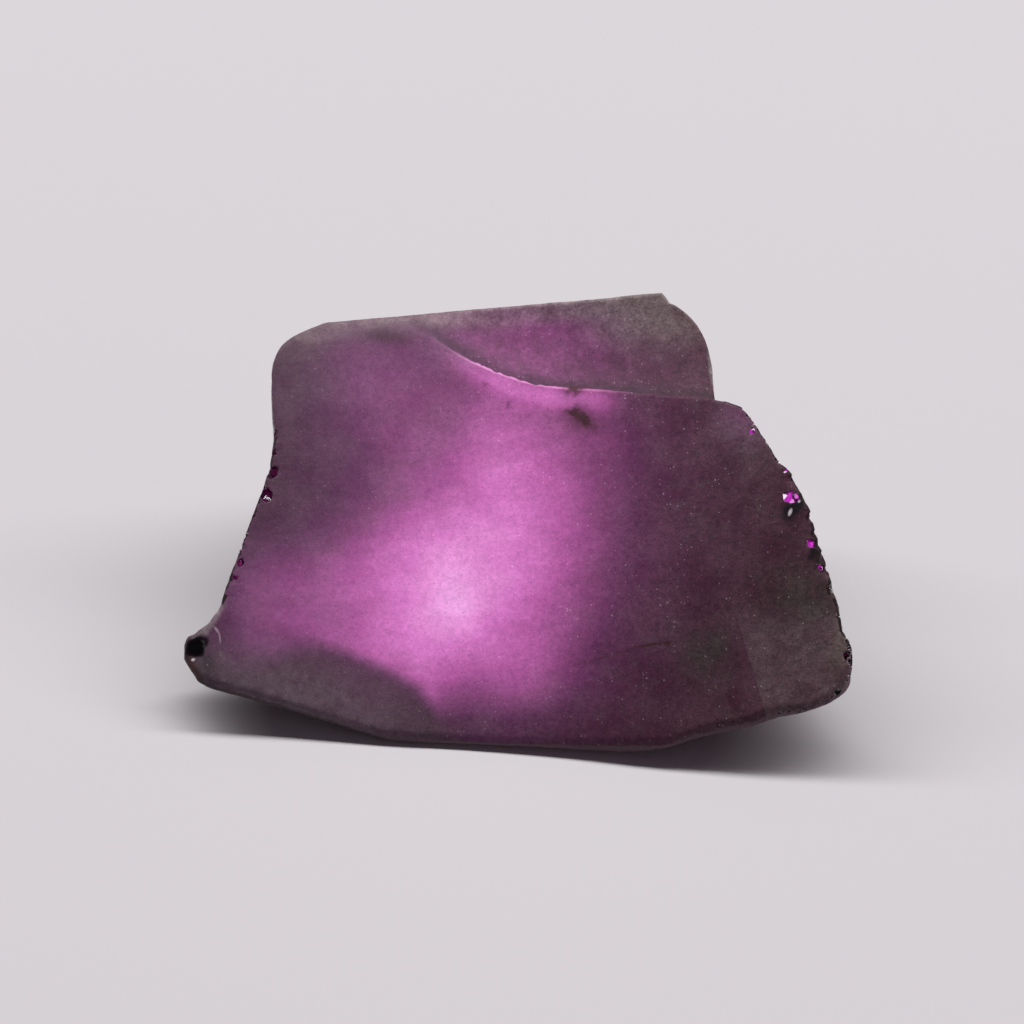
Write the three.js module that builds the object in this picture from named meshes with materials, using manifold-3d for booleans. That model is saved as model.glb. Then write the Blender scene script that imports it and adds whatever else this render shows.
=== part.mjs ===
// A piece of rough alexandrite: one broken chunk of chrysoberyl with a frosted, gently domed face
// that rises from a thin front edge to a high back edge. A curved fracture step crosses the face
// near the back, a flat lobe ends it on the right, and a small tongue sticks out on the left. The
// other sides are fresh fractures: shallow shell-shaped hollows that meet in sharp ridges.
//
// Millimetres. X runs along the chunk, Y from its thin front edge to its high back wall, Z up.
// The shape is laid out with zero height level with the front edge of the frosted face, and is
// moved at the end so that the origin is the middle of the bottom of its bounding box.

import * as THREE from "three";
import { mergeVertices } from "three/addons/utils/BufferGeometryUtils.js";
import Module from "manifold-3d";

const wasm = await Module();
wasm.setup();

// ---- Driving dimensions ----

const restHeight = -0.35; // the flat facet that the chunk rests on
const ceiling = 16; // above everything, for the cutters that take away what is over a face
const cutterSize = 60; // edge of the boxes that cut flat facets

// The frosted face: height = start + rise * y - dome * y^2, with a cross-section that is curved
// at the front and straight at the back edge.
const face = {
  start: 0.9,
  rise: 0.85,
  dome: 0.0135,
  frontSection: { level: -0.1, slope: 0.11, curve: 0.007 },
  backSection: { level: 0.29, slope: 0.075 },
  depth: 17,
  bevelWidth: 1.4,
  bevelFall: 0.22,
  cell: 0.9,
  spanX: [-17, 17],
  spanY: [-2.5, 19.5],
};

// The straight back edge of the face, as a line in plan and a line in height.
const backEdge = { y: 17.45, ySlope: 0.037, z: 11.48, zSlope: 0.096, xFrom: -9.3, xTo: 6.95 };

// The curved fracture step: its crest in plan, and the dished scar behind it.
const crestLine = [
  [-4.5, 16.0],
  [-2.8, 15.0],
  [-0.9, 14.1],
  [1.1, 13.45],
  [4.9, 12.9],
  [9.4, 12.2],
];
const scar = { step: 0.25, dish: 0.55, fadeIn: 5, reach: 1.3, columns: 28, rows: 14 };

// Flat facets on the top, each given by a point and its slopes along X and Y.
const lobeFacet = { at: [10.9, 1.3, 3.8], slopeX: 0.11, slopeY: 0.77, fromX: 9.5 };
const tongueFacet = { at: [-14.2, 4.4, 4.05], slopeX: 0.5, slopeY: 0.58 };

// Flat facets underneath: the bottom rises to the left, the right, the front and the back.
const leftRise = { at: [-5, -1, restHeight], slopeX: -0.205, slopeY: -0.02 };
const rightRise = { at: [4, -1, restHeight], slopeX: 0.29, slopeY: -0.08 };
const frontRise = { at: [0, 0.5, restHeight], slopeX: 0, slopeY: -0.25 };
const backRise = { at: [0, 14, restHeight], slopeX: -0.05, slopeY: 0.4 };

// The edge of the chunk in plan, counter-clockwise from the left end of the front edge.
const frontCurve = [
  [-14.8, 1.6],
  [-12.2, 1.1],
  [-9.3, 0.5],
  [-6.3, -0.2],
  [-2.0, -0.5],
  [2.0, -0.8],
  [7.0, -1.2],
];
const frontNick = [
  [8.0, -1.0],
  [8.7, -0.9],
  [11.1, -0.8],
  [11.8, -0.6],
];
const lobeCurve = [
  [12.5, -0.5],
  [13.4, -0.5],
  [14.4, -0.3],
  [15.2, 0.1],
  [15.7, 0.7],
  [15.8, 1.3],
  [15.75, 1.9],
  [15.35, 2.4],
];
const rightScallops = [
  [15.3, 3.0],
  [14.85, 4.3],
  [14.5, 5.3],
  [14.15, 6.1],
  [13.9, 7.0],
  [13.45, 7.7],
  [13.0, 8.6],
  [12.2, 9.5],
  [11.6, 10.5],
  [11.05, 11.3],
  [10.7, 11.75],
  [9.9, 12.1],
  [9.4, 12.2],
];
const shoulderCurve = [
  [9.35, 13.0],
  [9.25, 14.3],
  [9.0, 15.5],
  [8.5, 16.35],
  [7.9, 16.9],
  [7.3, 17.25],
];
const leftCurve = [
  [-10.3, 16.6],
  [-11.0, 16.2],
  [-11.6, 15.6],
  [-11.9, 14.6],
  [-11.85, 13.0],
  [-11.75, 11.8],
  [-12.0, 10.3],
  [-12.6, 8.6],
  [-13.5, 6.5],
  [-14.3, 4.6],
];
const tongueOutline = [
  [-14.8, 4.1],
  [-15.5, 3.85],
  [-15.85, 3.8],
  [-16.0, 3.55],
  [-16.0, 3.1],
  [-15.7, 2.6],
  [-15.3, 1.9],
];

// How the side walls go down from the rim: first a soft round-off, then a slight lean outwards.
// Each entry is [height over the rim, distance in from the edge].
const rimRound = [
  [3, 0.5],
  [0.25, 0.24],
  [0.02, 0.15],
  [-0.1, 0.05],
  [-0.3, 0],
];
const wallFoot = -3; // the walls go down to here, below everything that the bottom facets cut
const wallLevels = [0.2, 0.5, 1]; // shares of the way from the rim to the foot
const backLean = 0.1;
const sideLean = 0.08;
const leanFromY = 3;

// Flat undercuts in the walls: a point on each and the way that it faces.
const wallFacets = [
  { at: [-10.9, 16.2, 9.4], facing: [-0.6, 0.74, -0.32] },
  { at: [2.5, 18.0, 7.0], facing: [0.26, 0.92, -0.3] },
  { at: [13.9, 7.2, 5.6], facing: [0.86, 0.42, -0.3] },
];

// Shell-shaped fracture hollows in the walls: the centre of each sphere and its radius.
const hollows = [
  { centre: [-5.5, 30.6, 4.2], radius: 14 },
  { centre: [4.6, 27.2, 5.6], radius: 10 },
  { centre: [0.2, 24.6, -1.2], radius: 7.4 },
  { centre: [-18.4, 13.8, 5.2], radius: 7.2 },
  { centre: [-18.7, 10.8, 3.2], radius: 7.1 },
  { centre: [21.1, 11.3, 4.4], radius: 9.3 },
  { centre: [15.2, 16.6, 4.2], radius: 7.2 },
  { centre: [-9.5, 9, -10.9], radius: 12 },
  { centre: [10, 6.5, -8.8], radius: 10 },
];
const hollowDetail = 14;

// Small chips along the rims: where a rim starts and ends in plan, how many chips and how big.
const chippedRims = [
  { from: [15.45, 2.9], to: [13.3, 8.2], chips: 9, size: 0.36 },
  { from: [13.1, 8.5], to: [11.0, 11.6], chips: 6, size: 0.28 },
  { from: [-11.9, 11.4], to: [-13.9, 5.6], chips: 9, size: 0.3 },
];

// The end of the tongue: a small glassy facet that faces the front, over a rough foot.
const tongueEndX = -14.9;
const tongueGlass = { at: [-15.4, 3.55, 3.0], slopeX: 0.25, slopeY: 1.33 };
const tongueFoot = { at: [-15.2, 1.65, 2.05], slopeX: 0.1, slopeY: 0.2 };

// ---- Heights of the faces ----

const blendIn = (t) => THREE.MathUtils.smoothstep(t, 0, 1);

const backEdgeY = (x) => backEdge.y + backEdge.ySlope * x;
const backEdgeZ = (x) => backEdge.z + backEdge.zSlope * x;

function faceHeight(x, y) {
  const { frontSection, backSection } = face;
  const front = frontSection.level + frontSection.slope * x + frontSection.curve * x * x;
  const back = backSection.level + backSection.slope * x;
  const section = THREE.MathUtils.lerp(front, back, THREE.MathUtils.clamp(y / face.depth, 0, 1) ** 2);
  const bevel = Math.max(0, y - (backEdgeY(x) - face.bevelWidth));
  return face.start + face.rise * y - face.dome * y * y + section - face.bevelFall * bevel * bevel;
}

const crest = new THREE.SplineCurve(crestLine.map(([x, y]) => new THREE.Vector2(x, y)));

// The scar runs from the crest (across = 0) to the back edge (across = 1). It reaches on past it.
function scarPoint(along, across) {
  const start = crest.getPoint(along);
  const startZ = faceHeight(start.x, start.y);
  const grown = blendIn((start.x - crestLine[0][0]) / scar.fadeIn);
  const dip = scar.step * (1 - across) + 4 * scar.dish * across * (1 - across);
  return new THREE.Vector3(
    start.x,
    THREE.MathUtils.lerp(start.y, backEdgeY(start.x), across),
    THREE.MathUtils.lerp(startZ, backEdgeZ(start.x), across) - grown * dip,
  );
}

const facetHeight = ({ at, slopeX, slopeY }, x, y) => at[2] + slopeX * (x - at[0]) + slopeY * (y - at[1]);

function rimHeight(x, y) {
  const heights = [faceHeight(x, y), facetHeight(tongueFacet, x, y)];
  if (x > lobeFacet.fromX) heights.push(facetHeight(lobeFacet, x, y));
  return Math.min(...heights);
}

// ---- Closed solids ----

function solidFrom(geometry) {
  const bare = geometry.clone();
  bare.deleteAttribute("normal");
  bare.deleteAttribute("uv");
  const merged = mergeVertices(bare, 1e-4);
  return new wasm.Manifold(
    new wasm.Mesh({
      numProp: 3,
      vertProperties: new Float32Array(merged.getAttribute("position").array),
      triVerts: new Uint32Array(merged.index.array),
    }),
  );
}

function indexedGeometry(points, triangles) {
  const geometry = new THREE.BufferGeometry().setFromPoints(points);
  geometry.setIndex(triangles);
  return geometry;
}

// The space above a lattice of points, up to the ceiling.
function solidAbove(columns, rows, pointAt) {
  const lattice = [];
  for (let j = 0; j <= rows; j++) {
    for (let i = 0; i <= columns; i++) lattice.push(pointAt(i / columns, j / rows));
  }
  const lid = lattice.map((p) => new THREE.Vector3(p.x, p.y, ceiling));
  const count = lattice.length;
  const width = columns + 1;
  const triangles = [];
  for (let j = 0; j < rows; j++) {
    for (let i = 0; i < columns; i++) {
      const a = j * width + i;
      const b = a + 1;
      const c = a + width + 1;
      const d = a + width;
      triangles.push(a, c, b, a, d, c);
      triangles.push(a + count, b + count, c + count, a + count, c + count, d + count);
    }
  }
  const border = [];
  for (let i = 0; i < columns; i++) border.push(i);
  for (let j = 0; j < rows; j++) border.push(j * width + columns);
  for (let i = columns; i > 0; i--) border.push(rows * width + i);
  for (let j = rows; j > 0; j--) border.push(j * width);
  border.forEach((a, k) => {
    const b = border[(k + 1) % border.length];
    triangles.push(a, b, b + count, a, b + count, a + count);
  });
  return solidFrom(indexedGeometry([...lattice, ...lid], triangles));
}

// A solid through rings of points, listed from the bottom up, each counter-clockwise. A fan of
// triangles from the middle closes each end.
function solidThroughRings(rings) {
  const size = rings[0].length;
  const middle = (ring) => ring.reduce((sum, p) => sum.add(p), new THREE.Vector3()).divideScalar(size);
  const bottomMiddle = rings.length * size;
  const topMiddle = bottomMiddle + 1;
  const topStart = (rings.length - 1) * size;
  const triangles = [];
  for (let i = 0; i < size; i++) {
    const next = (i + 1) % size;
    for (let start = 0; start < topStart; start += size) {
      const a = start + i;
      const b = start + next;
      triangles.push(a, b, b + size, a, b + size, a + size);
    }
    triangles.push(next, i, bottomMiddle, topStart + i, topStart + next, topMiddle);
  }
  const points = [...rings.flat(), middle(rings[0]), middle(rings.at(-1))];
  return solidFrom(indexedGeometry(points, triangles));
}

// The half-space over (side = 1) or under (side = -1) a sloping plane, as a large box.
// It starts at startX and runs to the right, or to the left where toRight is -1.
function halfSpace(facet, side, startX = -cutterSize / 2, toRight = 1) {
  const box = new THREE.BoxGeometry(cutterSize, cutterSize, cutterSize);
  box.translate((toRight * cutterSize) / 2, 0, (side * cutterSize) / 2);
  const alongX = new THREE.Vector3(1, 0, facet.slopeX).normalize();
  const up = new THREE.Vector3(-facet.slopeX, -facet.slopeY, 1).normalize();
  const alongY = new THREE.Vector3().crossVectors(up, alongX);
  box.applyMatrix4(new THREE.Matrix4().makeBasis(alongX, alongY, up));
  box.translate(startX, facet.at[1], facetHeight(facet, startX, facet.at[1]));
  return solidFrom(box);
}

// Everything beyond a plane, on the side that it faces.
function spaceBeyond({ at, facing }) {
  const box = new THREE.BoxGeometry(cutterSize, cutterSize, cutterSize);
  box.translate(0, 0, cutterSize / 2);
  const turn = new THREE.Quaternion().setFromUnitVectors(
    new THREE.Vector3(0, 0, 1),
    new THREE.Vector3(...facing).normalize(),
  );
  box.applyQuaternion(turn);
  box.translate(...at);
  return solidFrom(box);
}

function ball(centre, radius, detail, turn = 0) {
  const geometry = new THREE.IcosahedronGeometry(radius, detail);
  geometry.rotateX(turn);
  geometry.rotateZ(2.3 * turn);
  geometry.translate(...centre);
  return solidFrom(geometry);
}

// ---- The parts of the chunk ----

function planOutline() {
  const path = new THREE.Path();
  const vectors = (points) => points.map(([x, y]) => new THREE.Vector2(x, y));
  const lines = (points) => vectors(points).forEach((p) => path.lineTo(p.x, p.y));
  path.moveTo(...frontCurve[0]);
  path.splineThru(vectors(frontCurve.slice(1)));
  lines(frontNick);
  path.splineThru(vectors(lobeCurve));
  lines(rightScallops);
  path.splineThru(vectors(shoulderCurve));
  lines([[backEdge.xTo, backEdgeY(backEdge.xTo)], [backEdge.xFrom, backEdgeY(backEdge.xFrom)]]);
  path.splineThru(vectors(leftCurve));
  lines(tongueOutline);
  return path.getPoints(2);
}

function blank() {
  const outline = planOutline();
  const outward = outline.map((_, i) => {
    const next = outline[(i + 1) % outline.length];
    const previous = outline.at(i - 1);
    return new THREE.Vector2(next.y - previous.y, previous.x - next.x).normalize();
  });
  const shifted = (i, out, z) =>
    new THREE.Vector3(outline[i].x + outward[i].x * out, outline[i].y + outward[i].y * out, z);
  const rim = rimRound.map(([over, inBy]) =>
    outline.map((p, i) => shifted(i, -inBy, rimHeight(p.x, p.y) + over)),
  );
  const walls = wallLevels.map((share) =>
    outline.map((p, i) => {
      const top = rim.at(-1)[i].z;
      const drop = share * (top - wallFoot);
      const leanBack = backLean * Math.max(0, outward[i].y) ** 2;
      const leanSide = sideLean * Math.max(0, outward[i].x) ** 2;
      return shifted(i, p.y < leanFromY ? 0 : drop * (leanBack + leanSide), top - drop);
    }),
  );
  return solidThroughRings([...rim, ...walls].reverse());
}

function spaceOverFace() {
  const columns = Math.round((face.spanX[1] - face.spanX[0]) / face.cell);
  const rows = Math.round((face.spanY[1] - face.spanY[0]) / face.cell);
  return solidAbove(columns, rows, (u, v) => {
    const x = THREE.MathUtils.lerp(...face.spanX, u);
    const y = THREE.MathUtils.lerp(...face.spanY, v);
    return new THREE.Vector3(x, y, faceHeight(x, y));
  });
}

const spaceOverScar = () =>
  solidAbove(scar.columns, scar.rows, (u, v) => scarPoint(u, v * scar.reach));

function chipCutters() {
  const cutters = [];
  chippedRims.forEach(({ from, to, chips, size }, rim) => {
    for (let k = 0; k < chips; k++) {
      const wobble = Math.sin(7.1 * k + 3 * rim);
      const x = THREE.MathUtils.lerp(from[0], to[0], (k + 0.4 * wobble) / (chips - 1));
      const y = THREE.MathUtils.lerp(from[1], to[1], (k + 0.4 * wobble) / (chips - 1));
      const z = rimHeight(x, y) + (0.4 + 0.25 * wobble) * size;
      cutters.push(ball([x, y, z], size * (1 + 0.35 * wobble), 1, 1.7 * k + rim));
    }
  });
  return cutters;
}

function tongueEndCut() {
  const overGlass = halfSpace(tongueGlass, 1, tongueEndX, -1);
  const overFoot = halfSpace(tongueFoot, 1, tongueEndX, -1);
  return overGlass.intersect(overFoot);
}

function stoneSolid() {
  const cutters = [
    spaceOverFace(),
    spaceOverScar(),
    halfSpace(lobeFacet, 1, lobeFacet.fromX),
    halfSpace(tongueFacet, 1),
    halfSpace({ at: [0, 0, restHeight], slopeX: 0, slopeY: 0 }, -1),
    ...[leftRise, rightRise, frontRise, backRise].map((facet) => halfSpace(facet, -1)),
    ...wallFacets.map(spaceBeyond),
    ...hollows.map(({ centre, radius }) => ball(centre, radius, hollowDetail)),
    ...chipCutters(),
    tongueEndCut(),
  ];
  return cutters.reduce((stone, cutter) => stone.subtract(cutter), blank());
}

function geometryFrom(solid) {
  const { numProp, vertProperties, triVerts } = solid.getMesh();
  const points = [];
  for (let i = 0; i < vertProperties.length; i += numProp) {
    points.push(new THREE.Vector3(vertProperties[i], vertProperties[i + 1], vertProperties[i + 2]));
  }
  return indexedGeometry(points, [...triVerts]);
}

function alexandriteStone() {
  const geometry = geometryFrom(stoneSolid());
  geometry.computeBoundingBox();
  const { min, max } = geometry.boundingBox;
  geometry.translate(-(min.x + max.x) / 2, -(min.y + max.y) / 2, -min.z);
  geometry.computeVertexNormals();
  const frosted = new THREE.MeshStandardMaterial({ color: 0x7d4a76, roughness: 0.55, metalness: 0 });
  const stone = new THREE.Mesh(geometry, frosted);
  stone.name = "alexandrite_stone";
  return stone;
}

const roughAlexandrite = new THREE.Group();
roughAlexandrite.add(alexandriteStone());

export default roughAlexandrite;
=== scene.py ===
"""A rough alexandrite lying on a pale studio surface: one broken chunk of chrysoberyl whose frosted
face glows magenta where light comes through it, with glassy fractures along its chipped edges.

Lengths below are millimetres in the frame's own axes, turned to metres by mm(): X along the chunk,
Y from its thin front edge to its high back wall, Z up.
"""

import math

import bmesh
import bpy
import numpy as np
from mathutils import Matrix, Vector, kdtree, noise
from mathutils.bvhtree import BVHTree


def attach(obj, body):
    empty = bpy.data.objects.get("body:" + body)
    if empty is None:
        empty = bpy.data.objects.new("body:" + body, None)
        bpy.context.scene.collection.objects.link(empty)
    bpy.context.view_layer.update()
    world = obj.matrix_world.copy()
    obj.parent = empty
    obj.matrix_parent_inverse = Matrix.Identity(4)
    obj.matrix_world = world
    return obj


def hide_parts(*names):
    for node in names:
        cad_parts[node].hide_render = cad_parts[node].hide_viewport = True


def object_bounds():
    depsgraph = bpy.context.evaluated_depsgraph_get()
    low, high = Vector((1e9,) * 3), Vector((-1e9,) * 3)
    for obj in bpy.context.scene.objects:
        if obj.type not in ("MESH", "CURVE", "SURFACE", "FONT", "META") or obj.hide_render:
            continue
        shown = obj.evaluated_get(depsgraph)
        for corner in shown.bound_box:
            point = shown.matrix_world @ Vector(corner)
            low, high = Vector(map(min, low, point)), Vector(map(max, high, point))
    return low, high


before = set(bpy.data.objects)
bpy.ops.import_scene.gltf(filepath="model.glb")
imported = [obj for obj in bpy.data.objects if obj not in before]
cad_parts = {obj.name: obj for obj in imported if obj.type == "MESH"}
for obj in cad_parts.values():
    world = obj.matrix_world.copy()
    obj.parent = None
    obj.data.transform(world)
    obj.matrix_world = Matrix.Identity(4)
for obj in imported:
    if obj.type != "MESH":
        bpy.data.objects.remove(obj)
cad_low, cad_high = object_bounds()
STONE_NODE = "alexandrite_stone"
MM = 0.001


def mm(*values):
    return Vector(v * MM for v in values)


# ---- The stone's own sizes, in millimetres ----

SKIN_VOXEL = 0.15  # size of the even mesh that the fine surface is made of
SHARP_ANGLE = math.radians(24)  # an edge that bends more than this is kept as an arris
FOLD_ANGLE = math.radians(115)  # an edge that bends more than this is on a sliver that is folded over
CHRYSOBERYL_IOR = 1.75
ABSORPTION_COLOUR = (0.72, 0.16, 0.58, 1)
ABSORPTION_DENSITY = 170  # per metre
RIPPLE_CENTRE = Vector((2.0, -3.0, 14.0))  # the shell-shaped ripples on the fractures run round this point
RIPPLE_STEP, RIPPLE_HEIGHT = 0.9, 0.03
RIPPLE_WANDER, WANDER_WIDTH = 3, 2.0  # how many radians the ripples stray, and over what distance
SWELL_WIDTH, SWELL_HEIGHT = 2.6, 0.035  # gentle waves
DIMPLE_WIDTH, DIMPLE_HEIGHT = 0.8, 0.012  # and smaller ones on top of them
NIBBLE_WIDTH, NIBBLE_DEPTH, NIBBLE_REACH = 0.5, 0.16, 0.25  # small bites out of the worn rims
NIBBLE_LIMIT = 0.05  # where the noise is below this, the rim is whole
RIM_REACH = 0.14  # how far the dark line along the worn rims spreads
RESTING_ZONE, RESTING_BLEND = 0.1, 0.5  # still below this height, and free from this much above it
FACE_TILT = 0.42  # a face that looks up or down more than this is frosted; the others are fractures

# The crest of the fracture step, in plan.
CREST = [(-4.4, 7.55), (-2.7, 6.55), (-0.8, 5.65), (1.2, 5.03), (5.0, 4.48), (9.5, 3.78)]

# The front left part, where the painted glow is dimmed as little light comes through, lies in front of this
# line.
FRONT_SHADE = [(-16.0, -5.6), (-12.4, -5.9), (-10.4, -5.5), (-8.8, -5.3), (-7.2, -5.6),
               (-5.6, -6.4), (-4.6, -7.2), (-3.2, -8.6), (0.0, -9.6)]

# Rims where chips have broken off, in plan, counter-clockwise.
LOBE_RIM = [(12.6, -8.9), (13.5, -8.9), (14.5, -8.7), (15.3, -8.3), (15.8, -7.7), (15.9, -7.1), (15.8, -6.5)]
RIGHT_RIM = [(15.45, -6.0), (15.4, -5.4), (14.95, -4.1), (14.6, -3.1), (14.3, -2.3), (14.0, -1.4),
             (13.6, -0.7), (13.1, 0.2), (12.3, 1.1), (11.7, 2.1), (10.8, 3.3), (9.9, 3.85)]
SHOULDER_RIM = [(9.45, 4.6), (9.35, 5.9), (9.1, 7.1), (8.6, 7.9)]
LEFT_RIM = [(-11.65, 3.4), (-11.9, 1.9), (-12.5, 0.2), (-13.4, -1.9), (-14.2, -3.8)]

# Chips of a known place: (x, y), radius.
LEFT_PITS = [((-11.62, 2.5), 0.22), ((-11.66, 1.6), 0.36), ((-11.95, 0.66), 0.42), ((-13.15, -2.15), 0.22),
             ((-13.4, -2.75), 0.16)]
# the chips that take painted glints
GLINT_CHIPS = [((13.02, -0.95), 0.4), ((13.95, -2.75), 0.24), ((11.25, 2.1), 0.16), ((14.4, -3.7), 0.15),
             ((12.75, 0.2), 0.12)]


# ---- Stage, light and camera ----

FLOOR_HALF_WIDTH = 0.6  # metres, as all lengths of the stage are
BOX_DISTANCE = 1.2
BOX_LEAN = math.radians(31)  # from straight above the stone towards its back
BOX_ASIDE = 0.06
BOX_LENGTH, BOX_DEPTH = 4.0, 0.16
BOX_WATTS = 34.5
ROOM_COLOUR = (1, 0.80, 0.97, 1)
ROOM_STRENGTH = 0.07


def pale_floor():
    mesh = bpy.data.meshes.new("studio_floor")
    half = FLOOR_HALF_WIDTH
    corners = [(-half, -half, 0), (half, -half, 0), (half, half, 0), (-half, half, 0)]
    mesh.from_pydata(corners, [], [(0, 1, 2, 3)])
    floor = bpy.data.objects.new("studio_floor", mesh)
    bpy.context.collection.objects.link(floor)
    material = bpy.data.materials.new("pale_card")
    material.use_nodes = True
    card = material.node_tree.nodes["Principled BSDF"]
    card.inputs["Base Color"].default_value = (0.70, 0.672, 0.695, 1)
    card.inputs["Roughness"].default_value = 0.9
    card.inputs["Specular IOR Level"].default_value = 0.1
    mesh.materials.append(material)


def studio_light():
    """One long soft box that faces the stone, in a dim room."""
    lamp = bpy.data.lights.new("overhead_box", "AREA")
    lamp.shape = "RECTANGLE"
    lamp.size = BOX_LENGTH
    lamp.size_y = BOX_DEPTH
    lamp.energy = BOX_WATTS
    box = bpy.data.objects.new("overhead_box", lamp)
    box.location = (BOX_ASIDE, BOX_DISTANCE * math.sin(BOX_LEAN), BOX_DISTANCE * math.cos(BOX_LEAN))
    box.rotation_mode = "QUATERNION"
    box.rotation_quaternion = (-box.location).to_track_quat("-Z", "Y")
    bpy.context.collection.objects.link(box)
    room = bpy.data.worlds.new("dim_room")
    room.use_nodes = True
    room.node_tree.nodes["Background"].inputs["Color"].default_value = ROOM_COLOUR
    room.node_tree.nodes["Background"].inputs["Strength"].default_value = ROOM_STRENGTH
    bpy.context.scene.world = room


CAMERA_ELEVATION = math.radians(50)  # above the floor, as seen from the stone
CAMERA_DISTANCE = 220 * MM
AIM_OFFSET = mm(-0.19, 0.54, 0.05)  # from the middle of the stone
SENSOR_WIDTH, LENS = 36, 161  # millimetres
NEAREST_SEEN = 0.01


def product_camera():
    aim = (cad_low + cad_high) / 2 + AIM_OFFSET
    back = Vector((0, -math.cos(CAMERA_ELEVATION), math.sin(CAMERA_ELEVATION)))
    data = bpy.data.cameras.new("camera")
    data.sensor_width = SENSOR_WIDTH
    data.lens = LENS
    data.clip_start = NEAREST_SEEN
    camera = bpy.data.objects.new("camera", data)
    camera.location = aim + back * CAMERA_DISTANCE
    camera.rotation_mode = "QUATERNION"
    camera.rotation_quaternion = (-back).to_track_quat("-Z", "Y")
    bpy.context.collection.objects.link(camera)
    bpy.context.scene.camera = camera


bpy.context.scene.view_settings.view_transform = "Standard"
pale_floor()
studio_light()
product_camera()


# ---- Node helpers ----

def add(tree, kind, values=None, **settings):
    """A node of this kind; an input is given a plain value, or the socket it is linked to."""
    made = tree.nodes.new(kind)
    for name, value in settings.items():
        setattr(made, name, value)
    for key, value in (values or {}).items():
        if isinstance(value, bpy.types.NodeSocket):
            tree.links.new(value, made.inputs[key])
        else:
            made.inputs[key].default_value = value
    return made


def maths(tree, operation, *values):
    return add(tree, "ShaderNodeMath", dict(enumerate(values)), operation=operation).outputs[0]


def vector_maths(tree, operation, *values):
    return add(tree, "ShaderNodeVectorMath", dict(enumerate(values)), operation=operation)


def times(tree, first, *others):
    """The product of two or more values."""
    for other in others:
        first = maths(tree, "MULTIPLY", first, other)
    return first


def line_of(tree, value, slope, start):
    return maths(tree, "MULTIPLY_ADD", value, slope, start)


def one_minus(tree, value):
    return line_of(tree, value, -1.0, 1.0)


def bell(tree, value, middle, width):
    """1 where the value is the middle one, falling away softly on both sides."""
    away = maths(tree, "DIVIDE", maths(tree, "SUBTRACT", value, middle), width)
    return maths(tree, "EXPONENT", times(tree, maths(tree, "POWER", away, 2.0), -1.0))


def axes(tree, vector):
    return add(tree, "ShaderNodeSeparateXYZ", {0: vector}).outputs


def scaled(tree, vector, factor):
    return add(tree, "ShaderNodeVectorMath", {0: vector, "Scale": factor}, operation="SCALE").outputs[0]


def noise_of(tree, position, size, detail, roughness=0.5):
    values = {"Vector": position, "Scale": size, "Detail": detail, "Roughness": roughness}
    return add(tree, "ShaderNodeTexNoise", values).outputs[0]


def mix_colour(tree, share, first, second):
    node = add(tree, "ShaderNodeMix", data_type="RGBA")
    for key, value in (("Factor_Float", share), ("A_Color", first), ("B_Color", second)):
        socket = next(s for s in node.inputs if s.identifier == key)
        if isinstance(value, bpy.types.NodeSocket):
            tree.links.new(value, socket)
        else:
            socket.default_value = (*value, 1)
    return next(s for s in node.outputs if s.identifier == "Result_Color")


def ease(tree, value, low, high, start=0.0, end=1.0):
    """Goes smoothly from start to end while the value goes from low to high."""
    values = {"Value": value, "From Min": low, "From Max": high, "To Min": start, "To Max": end}
    return add(tree, "ShaderNodeMapRange", values, interpolation_type="SMOOTHSTEP").outputs[0]


def colour_ramp(tree, value, stops):
    node = add(tree, "ShaderNodeValToRGB", {"Fac": value})
    elements = node.color_ramp.elements
    while len(elements) < len(stops):
        elements.new(0.5)
    for element, (place, colour) in zip(elements, stops):
        element.position = place
        element.color = (*colour, 1)
    return node.outputs["Color"]


def new_group(name, inputs, outputs, kind="ShaderNodeTree"):
    """An empty node group with these named sockets, each a pair of its label and its type."""
    tree = bpy.data.node_groups.new(name, kind)
    for label, socket in inputs:
        tree.interface.new_socket(label, in_out="INPUT", socket_type="NodeSocket" + socket)
    for label, socket in outputs:
        tree.interface.new_socket(label, in_out="OUTPUT", socket_type="NodeSocket" + socket)
    return tree, tree.nodes.new("NodeGroupInput").outputs, tree.nodes.new("NodeGroupOutput").inputs


def use(tree, shared, values=None):
    return add(tree, "ShaderNodeGroup", values, node_tree=shared).outputs


# ---- Effects that the stone's finishes share ----

FADE = (math.exp(-1),) * 3  # how much of each oval is left at its radii
NO_OVAL = ((0, 0), 0, (1, 1), 2.0, 0.0)  # fills up the last three


def soft_ovals(tree, position, spots):
    """Soft ovals in plan, three to a vector: 1 in the middle, falling away past the radii."""
    parts = axes(tree, position)
    x, y = (add(tree, "ShaderNodeCombineXYZ", dict.fromkeys(range(3), parts[k])).outputs[0] for k in (0, 1))
    for first in range(0, len(spots), 3):
        three = [*spots[first:first + 3], NO_OVAL, NO_OVAL][:3]
        total = None
        for quarter, side in ((0, 0), (90, 1)):
            rows = []
            for (centre_x, centre_y), turn, radii, _, _ in three:
                angle = math.radians(turn + quarter)
                axis = (math.cos(angle) / radii[side], math.sin(angle) / radii[side])
                rows.append((*axis, -centre_x * axis[0] - centre_y * axis[1]))
            by_x, by_y, start = zip(*rows)
            part = vector_maths(tree, "MULTIPLY_ADD", x, by_x, start).outputs[0]
            part = vector_maths(tree, "MULTIPLY_ADD", y, by_y, part).outputs[0]
            total = vector_maths(tree, "MULTIPLY_ADD", part, part, total or (0, 0, 0)).outputs[0]
        edges = tuple(edge / 2 for _, _, _, edge, _ in three)
        if edges != (1, 1, 1):
            total = vector_maths(tree, "POWER", total, edges).outputs[0]
        masks = vector_maths(tree, "POWER", FADE, total).outputs[0]
        yield masks, tuple(strength for _, _, _, _, strength in three)


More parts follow.
